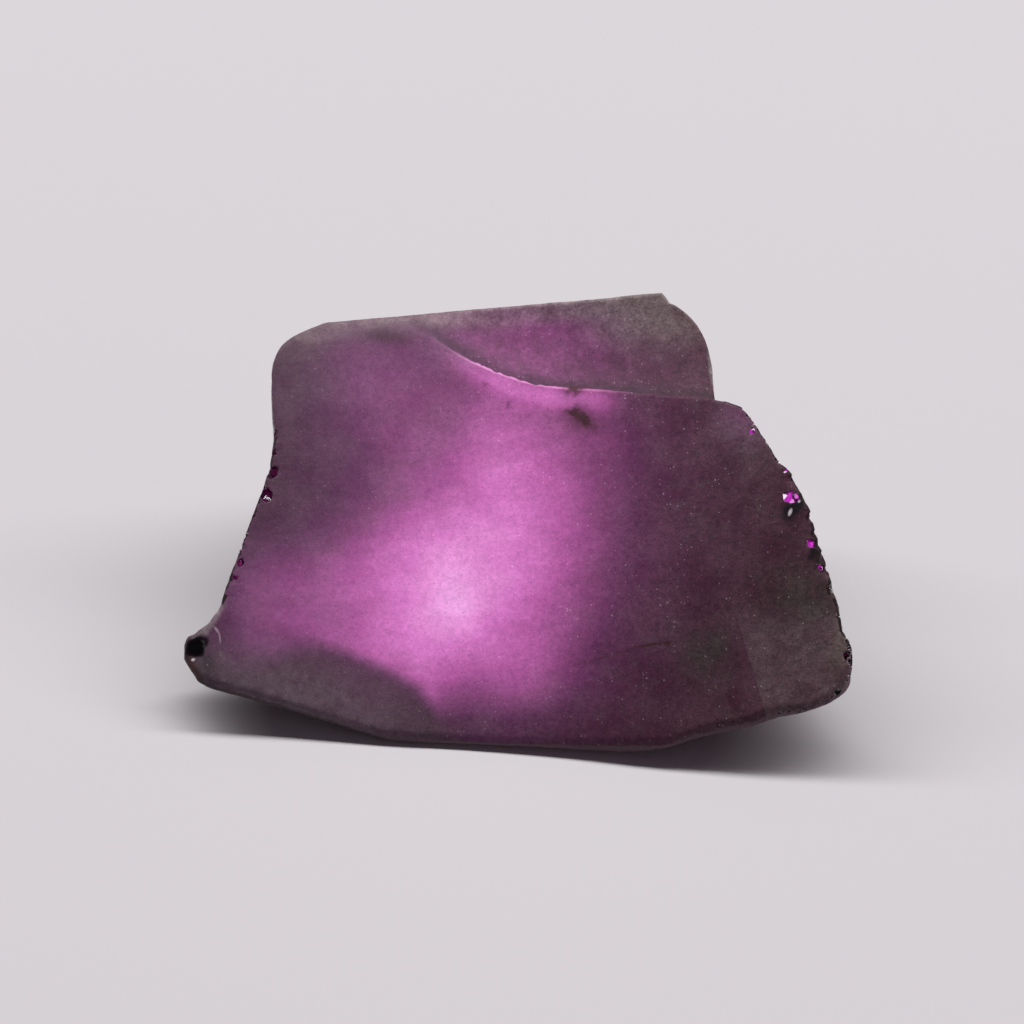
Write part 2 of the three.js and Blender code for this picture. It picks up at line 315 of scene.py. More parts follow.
def spot_sum(tree, position, spots, total=0.0):
    """Adds up soft ovals, each (centre, turn in degrees, radii, edge, strength): harder for a higher edge."""
    for masks, strengths in soft_ovals(tree, position, spots):
        part = vector_maths(tree, "DOT_PRODUCT", masks, strengths).outputs["Value"]
        total = maths(tree, "ADD", part, total)
    return total


def spot_masks(tree, position, spots):
    """The same soft ovals, each on its own."""
    found = []
    for masks, strengths in soft_ovals(tree, position, spots):
        found += axes(tree, vector_maths(tree, "MULTIPLY", masks, strengths).outputs[0])
    return found[:len(spots)]


def past_line_group(name, line):
    """How far a point is past a line that runs along the stone, in plan: below 0 in front of it."""
    tree, given, out = new_group(name, [("Position", "Vector")], [("Distance", "Float"), ("Along", "Float")])
    parts = axes(tree, given["Position"])
    half_x, half_y = 16.0, 10.0  # the curve spans this much of the plan to each side of the middle
    share = maths(tree, "MULTIPLY_ADD", parts["X"], 0.5 / half_x, 0.5)
    drawn = add(tree, "ShaderNodeFloatCurve", {"Value": share})
    points = [(0.5 + x / (2 * half_x), 0.5 + y / (2 * half_y)) for x, y in line]
    curve = drawn.mapping.curves[0]
    curve.points[0].location = points[0]
    curve.points[1].location = points[-1]
    for point in points[1:-1]:
        curve.points.new(*point)
    drawn.mapping.update()
    height = maths(tree, "MULTIPLY_ADD", drawn.outputs[0], 2 * half_y, -half_y)
    tree.links.new(maths(tree, "SUBTRACT", parts["Y"], height), out["Distance"])
    tree.links.new(parts["X"], out["Along"])
    return tree


BEHIND_THE_CREST = past_line_group("behind_the_crest", [(-10.0, 10.0), *CREST])
BEHIND_THE_SHADE = past_line_group("behind_the_shade", FRONT_SHADE)

# The painted glow that stands in for light held in the stone: (centre, turn, radii, edge, strength).
GLOW = [
    ((-1.6, 1.6), 0, (7.8, 9.0), 2.4, 0.28),  # wide haze
    ((-4.0, -3.4), 0, (4.1, 3.6), 2.6, 0.40),  # broad lobe
    ((-3.5, -3.8), 0, (2.1, 2.1), 2.0, 0.21),  # pale core
    ((0.4, -1.7), -4, (3.8, 5.3), 2.0, 0.34),  # right lobe
    ((-0.8, 1.6), 0, (2.2, 2.6), 2.0, 0.12),  # band that reaches for the crest
    ((-5.6, 3.6), 20, (1.8, 2.6), 2.0, 0.07),  # violet haze left of it
    ((-8.9, -2.8), 6, (3.4, 1.9), 2.4, 0.195),  # left lobe
    ((-8.0, -5.2), -8, (3.0, 1.1), 2.0, 0.24),  # its lower rim
    ((-12.2, -3.9), -14, (2.4, 2.5), 2.0, 0.19),  # haze by the tongue
    ((0.4, -6.7), 0, (2.4, 1.7), 2.4, 0.15),  # front lobe
    ((-4.1, -6.9), 30, (0.5, 1.3), 2.0, 0.12),  # short rays at the front
    ((3.6, 4.0), 0, (1.2, 0.8), 2.0, 0.07),  # haze under the crest's right end
    ((10.8, 2.9), 0, (1.0, 1.0), 2.0, 0.13),  # haze on the right shoulder
    ((-8.0, 6.5), 0, (2.4, 2.6), 2.0, 0.10),  # haze in the left corner
    ((0.8, 7.4), -2, (4.6, 1.5), 2.4, 0.11),  # haze in the scar
]
GLOW_STOPS = [
    (0.0, (0, 0, 0)),
    (0.125, (0.05, 0.009, 0.046)),
    (0.25, (0.16, 0.034, 0.13)),
    (0.417, (0.38, 0.08, 0.30)),
    (0.583, (0.58, 0.155, 0.49)),
    (0.708, (0.70, 0.24, 0.60)),
    (0.833, (0.79, 0.35, 0.73)),
    (1.0, (0.88, 0.48, 0.84)),
]
GLOW_TOP = 1.2  # the sum of spots that reaches the last colour
CREST_BAND = (-0.45, 0.55)  # painted glow band by the crest: how far past it the middle is, and its width
CREST_GLOW_SHADOW = (0.3, 0.55)  # the same of the painted shadow behind the crest
# painted shade: the glow is dimmed along the front edge
FRONT_GLOW_DIMMING = [((-2.0, -9.1), -2, (8.0, 1.5), 3.0, -0.5)]


def crest_band(tree, crest):
    """A painted bright band of glow just in front of the crest, fading out towards both ends."""
    left = ease(tree, crest["Along"], -4.6, -0.5)
    right = ease(tree, crest["Along"], 3.0, 6.0, 1.0, 0.0)
    in_front = ease(tree, crest["Distance"], -0.05, 0.05, 1.0, 0.0)
    return times(tree, bell(tree, crest["Distance"], *CREST_BAND), left, right, in_front)


def crest_glow_shadow(tree, crest):
    """Painted shadow just behind the crest, where the glow is dimmed."""
    behind = ease(tree, crest["Distance"], -0.05, 0.08)
    from_left = ease(tree, crest["Along"], -5.2, -3.4)
    return times(tree, bell(tree, crest["Distance"], *CREST_GLOW_SHADOW), behind, from_left)


def painted_glow_group():
    """A painted magenta glow on the frosted face, standing in for light that comes through the stone."""
    inputs = [("Position", "Vector"), ("Waver", "Float")]
    tree, given, out = new_group("painted_glow", inputs, [("Colour", "Color")])
    cloud = add(tree, "ShaderNodeTexNoise", {"Vector": given["Position"], "Scale": 0.35, "Detail": 2.0})
    shift = vector_maths(tree, "SUBTRACT", cloud.outputs["Color"], (0.5, 0.5, 0.5)).outputs[0]
    place = vector_maths(tree, "ADD", given["Position"], scaled(tree, shift, given["Waver"])).outputs[0]
    light = spot_sum(tree, place, GLOW)
    crest = use(tree, BEHIND_THE_CREST, {"Position": given["Position"]})
    light = line_of(tree, crest_band(tree, crest), 0.28, light)
    light = times(tree, light, line_of(tree, crest_glow_shadow(tree, crest), -0.45, 1.0))
    # the painted glow is dimmed over the front left part, which has a firm edge and is dimmest just inside it
    past = use(tree, BEHIND_THE_SHADE, {"Position": place})["Distance"]
    shaded = times(tree, ease(tree, past, -0.6, 0.5, 1.0, 0.0), ease(tree, past, -2.6, -0.5, 0.5, 0.75))
    light = times(tree, light, one_minus(tree, shaded), spot_sum(tree, place, FRONT_GLOW_DIMMING, 1.0))
    stretched = vector_maths(tree, "MULTIPLY", given["Position"], (0.35, 1.1, 0.35)).outputs[0]
    light = times(tree, light, ease(tree, noise_of(tree, stretched, 1.0, 3.0), 0.2, 0.8, 0.92, 1.08))
    share = maths(tree, "DIVIDE", light, GLOW_TOP)
    tree.links.new(colour_ramp(tree, share, GLOW_STOPS), out["Colour"])
    return tree


def grain_group():
    """Sandy frosting: a fine height, the shade of each grain, painted sparkles, dark pits, and slow mottling.
    """
    tree, given, out = new_group(
        "sandy_grain",
        [("Position", "Vector"), ("Grain", "Float")],
        [("Height", "Float"), ("Sand", "Float"), ("Sparkle", "Float"), ("Pit", "Float"), ("Mottle", "Float"),
         ("Cloud", "Float")],
    )
    position = given["Position"]
    size = maths(tree, "DIVIDE", 1.0, given["Grain"])
    fine = noise_of(tree, position, size, 3.0, 0.7)
    grains = add(tree, "ShaderNodeTexVoronoi", {"Vector": position, "Scale": size})
    shade = add(tree, "ShaderNodeSeparateColor", {0: grains.outputs["Color"]}).outputs[0]
    clumps = ease(tree, noise_of(tree, position, times(tree, size, 0.3), 3.0), 0.3, 0.7)
    sand = line_of(tree, ease(tree, fine, 0.3, 0.7), 0.35, times(tree, shade, 0.35))
    elsewhere = vector_maths(tree, "ADD", position, (17, 5, 9)).outputs[0]
    cloud = noise_of(tree, elsewhere, 1.1, 5.0, 0.6)
    # rare painted sparkles and pits in the middles of larger cells, fainter where the clouds are thin
    gathered = ease(tree, cloud, 0.35, 0.65, 0.25, 1.0)
    cells = add(tree, "ShaderNodeTexVoronoi", {"Vector": position, "Scale": times(tree, size, 0.52)})
    chances = add(tree, "ShaderNodeSeparateColor", {0: cells.outputs["Color"]}).outputs
    dots = (("Sparkle", chances[0], 0.28, 0.82), ("Pit", chances[1], 0.34, 0.76))
    for label, chance, radius, least in dots:
        dot = ease(tree, cells.outputs["Distance"], radius * 0.35, radius, 1.0, 0.0)
        rare = ease(tree, maths(tree, "MULTIPLY_ADD", clumps, 0.2, chance), least, 1.15)
        tree.links.new(times(tree, dot, rare, gathered), out[label])
    tree.links.new(fine, out["Height"])
    tree.links.new(line_of(tree, clumps, 0.3, sand), out["Sand"])
    tree.links.new(noise_of(tree, position, 0.5, 4.0), out["Mottle"])
    tree.links.new(cloud, out["Cloud"])
    return tree


PAINTED_GLOW = painted_glow_group()
SANDY_GRAIN = grain_group()


# ---- The stone's finishes ----

def object_position(tree):
    """The place on the stone in millimetres."""
    return scaled(tree, add(tree, "ShaderNodeTexCoord").outputs["Object"], 1 / MM)


def new_material(name):
    material = bpy.data.materials.new(name)
    material.use_nodes = True
    material.cycles.emission_sampling = "NONE"  # the glow is seen, but isn't used as a lamp
    tree = material.node_tree
    shader = tree.nodes["Principled BSDF"]
    shader.inputs["IOR"].default_value = CHRYSOBERYL_IOR
    shader.inputs["Emission Color"].default_value = (0, 0, 0, 1)
    shader.inputs["Emission Strength"].default_value = 1.0
    values = {"Color": ABSORPTION_COLOUR, "Density": ABSORPTION_DENSITY}
    inside = add(tree, "ShaderNodeVolumeAbsorption", values)
    tree.links.new(inside.outputs[0], tree.nodes["Material Output"].inputs["Volume"])
    return material, tree, shader.inputs


def finish_normal(tree, shader, height, strength, depth):
    """A bump of this depth in millimetres."""
    bump = add(tree, "ShaderNodeBump", {"Strength": strength, "Distance": depth * MM, "Height": height})
    tree.links.new(bump.outputs[0], shader["Normal"])


# Colours of the frosted skin; a pair is a dark and a pale shade.
LEFT_FROST = ((0.092, 0.037, 0.066), (0.14, 0.078, 0.108))
RIGHT_FROST = ((0.078, 0.018, 0.040), (0.118, 0.048, 0.072))
SANDY_CLOUD = (0.10, 0.085, 0.07)
# painted light on the lobe's facet, which faces more upward than the main face
LOBE_PAINTED_LIGHT = (0.175, 0.115, 0.13)
# painted shadow in the strip behind the crest
CREST_SHADOW_GREY = (0.05, 0.028, 0.035)
PIT_SHADOW = (0.01, 0.006, 0.008)
# painted glints of sparkling grains
PAINTED_SPARKLE = (0.52, 0.43, 0.47)
INCLUSION_BROWN = (0.065, 0.018, 0.022)
# painted dark reflection of the glassy facets
FACET_DARK_REFLECTION = (0.004, 0.003, 0.004)
GLINT_WHITE = (0.88, 0.80, 0.86)
# Colours of the sideways walls: painted shade on the undercut left ones, and painted light on the others,
# which the lamp behind leaves dim.
WALL_LIGHT_AND_SHADE = ((0.036, 0.022, 0.026), (0.135, 0.085, 0.105))  # painted shade on the left, painted light elsewhere
# a dark line painted along the chipped rims
DARK_RIM_LINE = (0.02, 0.008, 0.010)
# painted glow of the crest's thin bright line
CREST_GLOW_COLOUR = (0.76, 0.27, 0.62)
# Tints that lie over the frosting: colour, and soft ovals as (centre, turn, radii, edge, strength).
SKIN_TINTS = [
    # olive dust, with painted light along the back edge, which turns up towards the lamp
    ((0.27, 0.225, 0.205), [
        ((-7.4, 8.5), 2, (4.4, 0.8), 3.0, 0.55), ((1.2, 8.8), 5, (7.5, 0.55), 3.0, 0.9),
        ((6.0, 8.4), -8, (3.2, 1.3), 2.5, 0.85), ((-10.3, 7.3), 20, (1.4, 0.8), 2.5, 0.35)]),
    # dark green, with painted shade on the main face's side of the lobe's ridge
    ((0.045, 0.055, 0.035), [
        ((-6.2, 7.65), 0, (1.5, 0.45), 2.5, 0.85), ((13.6, -5.0), 0, (1.8, 1.5), 2.2, 0.5),
        ((8.9, -6.4), 0, (1.3, 1.1), 2.2, 0.55), ((15.2, -7.2), 0, (0.45, 0.4), 2.5, 0.7)]),
    # pale frost
    ((0.20, 0.145, 0.17), [
        ((-9.8, 5.6), 40, (2.4, 1.2), 2.5, 0.15), ((-10.0, -7.4), -12, (5.4, 1.4), 3.0, 0.85),
        ((-3.6, 6.9), -30, (2.4, 0.5), 2.5, 0.4), ((10.7, 2.0), -50, (1.6, 1.0), 2.0, 0.4)]),
    # sandy crust on the lobe, and the lobe's rusty rim
    ((0.24, 0.20, 0.145), [((15.3, -6.5), 75, (0.95, 0.42), 2.5, 0.9)]),
    ((0.05, 0.012, 0.014), [((15.3, -8.0), -50, (0.8, 0.35), 3.0, 0.9)]),
    # painted reflection on the tongue's pale glassy side, and painted light caught on the shoulder's side
    ((0.31, 0.275, 0.26), [
        ((-14.74, -4.48), 40, (1.0, 0.3), 4.0, 1.0), ((9.4, 5.6), 6, (0.14, 1.2), 4.0, 0.8)]),
    # rough brown foot of the tongue, and its grey edge
    ((0.022, 0.011, 0.010), [((-15.5, -5.95), -62, (1.0, 0.4), 4.0, 1.0)]),
    ((0.06, 0.045, 0.05), [((-14.9, -5.8), -62, (1.1, 0.45), 3.0, 0.7)]),
    # painted near black round the glinting chips, for the dark that their glassy facets reflect
    ((0.008, 0.004, 0.007), [
        ((13.0, -1.36), 60, (0.52, 0.4), 4.0, 0.95), ((14.02, -3.1), 60, (0.34, 0.2), 4.0, 0.9),
        ((13.5, -1.3), 60, (0.45, 0.26), 3.0, 0.9)]),
]
INCLUSIONS = [
    ((3.05, 3.55), -38, (0.7, 0.66), 2.0, 0.74),  # three that make one cluster
    ((3.42, 3.2), -40, (0.42, 0.22), 2.0, 0.6),
    ((2.65, 3.7), 0, (0.3, 0.22), 2.0, 0.5),
    ((2.78, 4.74), 12, (0.5, 0.26), 2.0, 1.1),  # on the crest
    ((2.5, 5.2), 0, (0.22, 0.12), 2.0, 0.6),
    ((-0.35, 4.15), 0, (0.16, 0.13), 2.0, 0.5),
    ((-6.0, 7.45), -8, (1.1, 0.32), 3.0, 0.4),  # dark patch at the back
    ((-15.5, -5.95), -63, (0.8, 0.28), 3.0, 0.9),  # in the tongue's foot
    ((-1.5, 5.15), 0, (0.14, 0.12), 2.0, 0.4),
]
SCRATCHES = [
    ((6.45, -5.93), 2, (0.85, 0.06), 3.0, 0.85),
    ((7.2, -5.95), 0, (0.14, 0.09), 2.0, 0.9),
    ((4.2, -6.2), 8, (1.7, 0.05), 3.0, 0.4),
]
# the tongue's glassy facet, painted near black for the dark room it reflects
TONGUE_GLASS = ((-15.27, -5.13), -4, (0.64, 0.36), 8.0, 1.0)
GLINTS = [((-15.43, -5.6), 10, (0.09, 0.07), 3.0, 0.9), ((-14.27, -4.8), -52, (0.2, 0.05), 4.0, 0.4),
          ((-14.12, -5.12), -82, (0.2, 0.045), 4.0, 0.35), ((12.98, -1.5), 60, (0.15, 0.08), 5.0, 1.0),
          ((13.42, -1.1), 30, (0.08, 0.05), 4.0, 1.0)]
MOST_DARK = 0.95  # the marks never hide the frosting fully
LOBE_RIDGE = ((10.38, -5.14), (11.83, -9.07))


def frosting(tree, across, grain):
    """The bare frosting: redder and darker on the right, and sandy in clouds."""
    mottle = ease(tree, grain["Mottle"], 0.3, 0.7)
    left, right = (mix_colour(tree, mottle, *shades) for shades in (LEFT_FROST, RIGHT_FROST))
    colour = mix_colour(tree, ease(tree, across, -6.0, 5.0), left, right)
    return mix_colour(tree, ease(tree, grain["Cloud"], 0.5, 0.75, 0.0, 0.4), colour, SANDY_CLOUD)


def tinted(tree, position, grain, colour):
    """Dust, crusts and dark glass over the frosting, broken up by its clouds."""
    masks = iter(spot_masks(tree, position, [spot for _, spots in SKIN_TINTS for spot in spots]))
    broken = ease(tree, grain["Cloud"], 0.3, 0.6, 0.5, 1.15)
    for tint, spots in SKIN_TINTS:
        share = next(masks)
        for _ in spots[1:]:
            share = maths(tree, "ADD", share, next(masks))
        colour = mix_colour(tree, times(tree, share, broken), colour, tint)
    return colour


def lobe_side(tree, position):
    """1 on the lobe's flat facet, 0 on the main face: they meet in a faint straight ridge."""
    (x0, y0), (x1, y1) = LOBE_RIDGE
    length = math.hypot(x1 - x0, y1 - y0)
    normal = (-(y1 - y0) / length, (x1 - x0) / length, 0)
    away = vector_maths(tree, "SUBTRACT", position, (x0, y0, 0)).outputs[0]
    across = vector_maths(tree, "DOT_PRODUCT", away, normal).outputs["Value"]
    return times(tree, ease(tree, across, -0.05, 0.07), ease(tree, axes(tree, position)["Y"], -4.6, -6.2))


def near_crest(tree, crest):
    """1 close to the crest, where small faces turn either way across the arris."""
    close = ease(tree, maths(tree, "ABSOLUTE", crest["Distance"]), 0.45, 0.3)
    return times(tree, close, ease(tree, crest["Along"], -5.0, -4.0), ease(tree, crest["Along"], 9.3, 8.8))


def painted_crest_shadow(tree, crest):
    """Painted shadow: the grey strip behind the crest."""
    begins = ease(tree, crest["Distance"], 0.0, 0.1)
    fades = ease(tree, crest["Distance"], 0.2, 1.0, 0.7, 0.0)
    return times(tree, begins, fades, ease(tree, crest["Along"], -5.2, -3.4))


def crest_glow_line(tree, crest, broken):
    """A thin, bright painted line of glow where the light leaves along the sharp crest."""
    off = maths(tree, "ABSOLUTE", maths(tree, "ADD", crest["Distance"], 0.06))
    thin = ease(tree, off, 0.015, 0.085, 1.0, 0.0)
    left = ease(tree, crest["Along"], -3.6, -1.4)
    right = ease(tree, crest["Along"], 1.0, 6.0, 1.0, 0.0)
    return times(tree, thin, left, right, ease(tree, broken, 0.3, 0.6, 0.6, 1.0))


def dark_rim_line(tree, across, broken):
    """A thin, broken dark line along the chipped rims, widest at the lower right."""
    near = add(tree, "ShaderNodeAttribute", attribute_name="rim").outputs["Fac"]
    wider = ease(tree, across, 13.4, 14.2, 0.0, 0.2)
    uneven = maths(tree, "SUBTRACT", maths(tree, "ADD", broken, wider), 0.5)
    return ease(tree, line_of(tree, uneven, 1.2, near), 0.45, 0.75)


def dark_marks(tree, position, ragged):
    """Inclusions with ragged edges, and scratches that waver less."""
    dark = 0.0
    for spots, reach in ((INCLUSIONS, 0.6), (SCRATCHES, 0.1)):
        place = vector_maths(tree, "ADD", position, scaled(tree, ragged, reach)).outputs[0]
        dark = spot_sum(tree, place, spots, dark)
    return maths(tree, "MINIMUM", dark, MOST_DARK)


def painted_glow_share(tree, grain, sand, sparkles, crest):
    """How much of the painted glow the frosting shows: less at pits and dark grains, most patchily in the
    scar.
    """
    grains = times(tree, line_of(tree, grain["Pit"], -0.45, 1.0), line_of(tree, sand, 0.42, 1.0))
    grains = line_of(tree, sparkles, 0.2, grains)
    patchy = ease(tree, crest["Distance"], 0.0, 0.4, 0.1, 0.6)
    cloud = ease(tree, grain["Cloud"], 0.3, 0.7, -0.5, 0.5)
    return times(tree, grains, line_of(tree, cloud, patchy, 1.0))


def frosted_skin():
    """The sandy skin of the main face, with a painted glow for the stone's light behind it."""
    material, tree, skin = new_material("frosted_skin")
    position = object_position(tree)
    across = axes(tree, position)["X"]
    grain = use(tree, SANDY_GRAIN, {"Position": position, "Grain": 0.085})
    glow = use(tree, PAINTED_GLOW, {"Position": position, "Waver": 1.0})
    crest = use(tree, BEHIND_THE_CREST, {"Position": position})
    facing = axes(tree, add(tree, "ShaderNodeNewGeometry").outputs["Normal"])["Z"]
    facing = maths(tree, "MAXIMUM", facing, near_crest(tree, crest))
    values = {"Vector": position, "Scale": 2.8, "Detail": 2.0}
    uneven = add(tree, "ShaderNodeTexNoise", values).outputs["Color"]
    ragged = vector_maths(tree, "SUBTRACT", uneven, (0.5, 0.5, 0.5)).outputs[0]
    broken = axes(tree, uneven)
    coarse = ease(tree, across, -8.0, 4.0, 0.55, 1.0)  # the left half is frosted more smoothly
    sand = maths(tree, "SUBTRACT", grain["Sand"], 0.5)
    sparkles = times(tree, grain["Sparkle"], coarse)
    dark = dark_marks(tree, position, ragged)
    # a dark line painted along the chipped rims
    worn = dark_rim_line(tree, across, broken["X"])
    glassy, *glints = spot_masks(tree, position, [TONGUE_GLASS, *GLINTS])

    colour = tinted(tree, position, grain, frosting(tree, across, grain))
    # Painted light: the lobe's facet is made paler than the main face beside its ridge.
    lobe = times(tree, lobe_side(tree, position), ease(tree, grain["Cloud"], 0.35, 0.65, 0.45, 0.8))
    colour = mix_colour(tree, lobe, colour, LOBE_PAINTED_LIGHT)
    colour = mix_colour(tree, painted_crest_shadow(tree, crest), colour, CREST_SHADOW_GREY)
    colour = scaled(tree, colour, line_of(tree, times(tree, sand, coarse), 1.1, 0.92))
    colour = mix_colour(tree, times(tree, grain["Pit"], coarse, 0.85), colour, PIT_SHADOW)
    colour = mix_colour(tree, sparkles, colour, PAINTED_SPARKLE)
    colour = mix_colour(tree, dark, colour, INCLUSION_BROWN)
    colour = mix_colour(tree, glassy, colour, FACET_DARK_REFLECTION)
    for glint in glints:
        colour = mix_colour(tree, glint, colour, GLINT_WHITE)
    # Sideways walls take the painted wall shade and light instead of the frosting.
    wall = mix_colour(tree, ease(tree, across, -9.0, -2.0), *WALL_LIGHT_AND_SHADE)
    colour = mix_colour(tree, ease(tree, facing, 0.4, 0.1, 0.0, 0.75), colour, wall)
    colour = mix_colour(tree, worn, colour, DARK_RIM_LINE)
    tree.links.new(colour, skin["Base Color"])

    # Painted glow: emission stands in for the light that comes through the stone, on faces that look up.
    clear = times(tree, one_minus(tree, dark), one_minus(tree, maths(tree, "MAXIMUM", worn, glassy)))
    clear = times(tree, clear, ease(tree, facing, 0.2, 0.55), painted_glow_share(tree, grain, sand, sparkles, crest))
    light = scaled(tree, glow["Colour"], clear)
    line = times(tree, crest_glow_line(tree, crest, broken["Y"]), one_minus(tree, dark))
    light = mix_colour(tree, line, light, CREST_GLOW_COLOUR)
    tree.links.new(light, skin["Emission Color"])

    rough = ease(tree, grain["Mottle"], 0.3, 0.7, 0.62, 0.75)
    rough = times(tree, rough, ease(tree, glassy, 0.2, 0.8, 1.0, 0.12))
    tree.links.new(rough, skin["Roughness"])
    skin["Specular IOR Level"].default_value = 0.16
    skin["Transmission Weight"].default_value = 0.06
    finish_normal(tree, skin, grain["Height"], 0.5, 0.03)
    return material


def fresh_break():
    """A clear, glassy fracture, with a painted pale glow where light leaves the shoulder."""
    material, tree, glass = new_material("fresh_break")
    position = object_position(tree)
    grain = use(tree, SANDY_GRAIN, {"Position": position, "Grain": 0.3})
    glass["Base Color"].default_value = (0.40, 0.18, 0.34, 1)
    tree.links.new(ease(tree, grain["Mottle"], 0.35, 0.75, 0.06, 0.3), glass["Roughness"])
    # painted light caught on the shoulder's glassy side
    shoulder = spot_sum(tree, position, [((9.6, 5.1), -6, (0.5, 1.4), 4.0, 0.9)])
    light = mix_colour(tree, shoulder, (0, 0, 0), (0.24, 0.20, 0.22))
    tree.links.new(light, glass["Emission Color"])
    glass["Transmission Weight"].default_value = 1.0
    finish_normal(tree, glass, grain["Height"], 0.3, 0.05)
    return material


# painted glints and glow of the chips' tiny facets
PAINTED_GLINT_STOPS = [
    (0.0, (0.02, 0, 0.02)),
    (0.3, (0.1, 0.002, 0.09)),
    (0.45, (0.34, 0.008, 0.32)),
    (0.88, (0.60, 0.05, 0.58)),
    (0.95, (0.95, 0.8, 0.92)),
]


def painted_glint_glass():
    """A glassy fracture whose tiny facets have painted glints and glow: black, magenta and near white."""
    material, tree, glass = new_material("painted_glint_glass")
    glass["Base Color"].default_value = (0.40, 0.12, 0.34, 1)
    glass["Roughness"].default_value = 0.08
    glass["Transmission Weight"].default_value = 1.0
    facets = add(tree, "ShaderNodeTexVoronoi", {"Vector": object_position(tree), "Scale": 5.0})
    chance = add(tree, "ShaderNodeSeparateColor", {0: facets.outputs["Color"]}).outputs[1]
    tree.links.new(colour_ramp(tree, chance, PAINTED_GLINT_STOPS), glass["Emission Color"])
    finish_normal(tree, glass, facets.outputs["Distance"], 0.4, 0.05)
    return material


FROSTED_SKIN = frosted_skin()
FRESH_BREAK = fresh_break()
PAINTED_GLINT_GLASS = painted_glint_glass()


# ---- The stone's mesh ----

# These are metres.
SNAP_REACH = 0.8 * SKIN_VOXEL * MM  # vertices this close to an arris are moved on to it
MET = 0.5 * SKIN_VOXEL * MM  # vertices on an arris that are closer together than this are joined
ON_ARRIS = 0.4 * MET  # a vertex this close to an arris lies on it
ALONG_ARRIS = 0.03 * MM  # a line whose middle is this close to an arris runs along it


def merged_copy(source):
    """The source's triangles joined at their shared corners."""
    made = bmesh.new()
    made.from_mesh(source.data)
    bmesh.ops.remove_doubles(made, verts=made.verts, dist=1e-7)
    return made


def points_along(segments, spacing):
    """A search tree of points spaced along segments, each a pair of ends."""
    points = []
    for start, end in segments:
        count = max(1, math.ceil((end - start).length / spacing))
        points += [start.lerp(end, k / count) for k in range(count + 1)]
    tree = kdtree.KDTree(len(points))
    for k, point in enumerate(points):
        tree.insert(point, k)
    tree.balance()
    return tree


def even_mesh(made):
    """The stone as one even mesh that follows the CAD surface and its sharp edges closely."""
    mesh = bpy.data.meshes.new("alexandrite")
    made.to_mesh(mesh)
    stone = bpy.data.objects.new("alexandrite", mesh)
    bpy.context.collection.objects.link(stone)
    remesh = stone.modifiers.new("even", "REMESH")
    remesh.mode = "VOXEL"
    remesh.voxel_size = SKIN_VOXEL * MM
    evaluated = stone.evaluated_get(bpy.context.evaluated_depsgraph_get())
    even = bpy.data.meshes.new_from_object(evaluated)
    stone.modifiers.clear()
    stone.data = even
    on_arris = {v.index for v in even.vertices if arrises.find(v.co)[2] < SNAP_REACH}
    surface = BVHTree.FromBMesh(made)
    for smoothing in (2, 2, 1):
        for vertex in stone.data.vertices:
            if vertex.index in on_arris:
                vertex.co = arrises.find(vertex.co)[0]
            else:
                vertex.co = surface.find_nearest(vertex.co)[0]
        soften(stone, smoothing)
    for k in on_arris:
        vertex = stone.data.vertices[k]
        vertex.co = vertex.co.lerp(arrises.find(vertex.co)[0], 0.9)
    join_met(stone.data)
    soften(stone, 1)
    return stone


def collapse(work, edges):
    """Collapses those of the edges that leave the mesh closed, and that don't touch each other."""
    taken, chosen = set(), []
    for edge in edges:
        start, end = edge.verts
        near_start = {e.other_vert(start) for e in start.link_edges}
        near_end = {e.other_vert(end) for e in end.link_edges}
        corners = {v for f in edge.link_faces if len(f.verts) == 3 for v in f.verts} - {start, end}
        touched = near_start | near_end
        if near_start & near_end == corners and not touched & taken:
            taken |= touched
            chosen.append(edge)
    bmesh.ops.collapse(work, edges=chosen)
    return len(chosen)


def crosses_arris(edge, on_arris):
    """True for an edge that runs over an arris between two vertices that lie on it."""
    if on_arris.issuperset(edge.verts):
        return False
    start, end = (next(v for v in f.verts if v not in edge.verts) for f in edge.link_faces)
    neighbours = {e.other_vert(start) for e in start.link_edges}
    if start not in on_arris or end not in on_arris or end in neighbours:
        return False
    line = end.co - start.co
    sides = [line.cross(v.co - start.co).normalized() for v in edge.verts]
    along = arrises.find((start.co + end.co) / 2)[2] < ALONG_ARRIS
    return along and sides[0].dot(sides[1]) < 0.2


def join_met(mesh):
    """Joins vertices that met on an arris, runs edges along it, and takes out folded slivers."""
    work = bmesh.new()
    work.from_mesh(mesh)
    bmesh.ops.triangulate(work, faces=work.faces)
    for _ in range(8):
        met = [e for e in work.edges if e.calc_length() < MET
               and all(arrises.find(v.co)[2] < ON_ARRIS for v in e.verts)]
        if not collapse(work, met):
            break
    on_arris = {v for v in work.verts if arrises.find(v.co)[2] < ON_ARRIS}
    for edge in list(work.edges):
        if edge.is_valid and crosses_arris(edge, on_arris):
            bmesh.utils.edge_rotate(edge)
    for _ in range(12):
        work.normal_update()
        folded = [e for e in work.edges if e.calc_face_angle() > FOLD_ANGLE]
        slivers = {min(e.link_faces, key=lambda f: f.calc_area()) for e in folded}
        shortest = {min(f.edges, key=lambda e: e.calc_length()) for f in slivers}
        if not collapse(work, sorted(shortest, key=lambda e: e.index)):
            break
    work.to_mesh(mesh)
    work.free()


def applied(thing):
    """The object's mesh with its modifiers worked in, put back on the object without them."""
    evaluated = thing.evaluated_get(bpy.context.evaluated_depsgraph_get())
    mesh = bpy.data.meshes.new_from_object(evaluated)
    thing.modifiers.clear()
    thing.data = mesh


def soften(stone, rounds):
    smooth = stone.modifiers.new("soften", "SMOOTH")
    smooth.factor = 0.5
    smooth.iterations = rounds
    applied(stone)


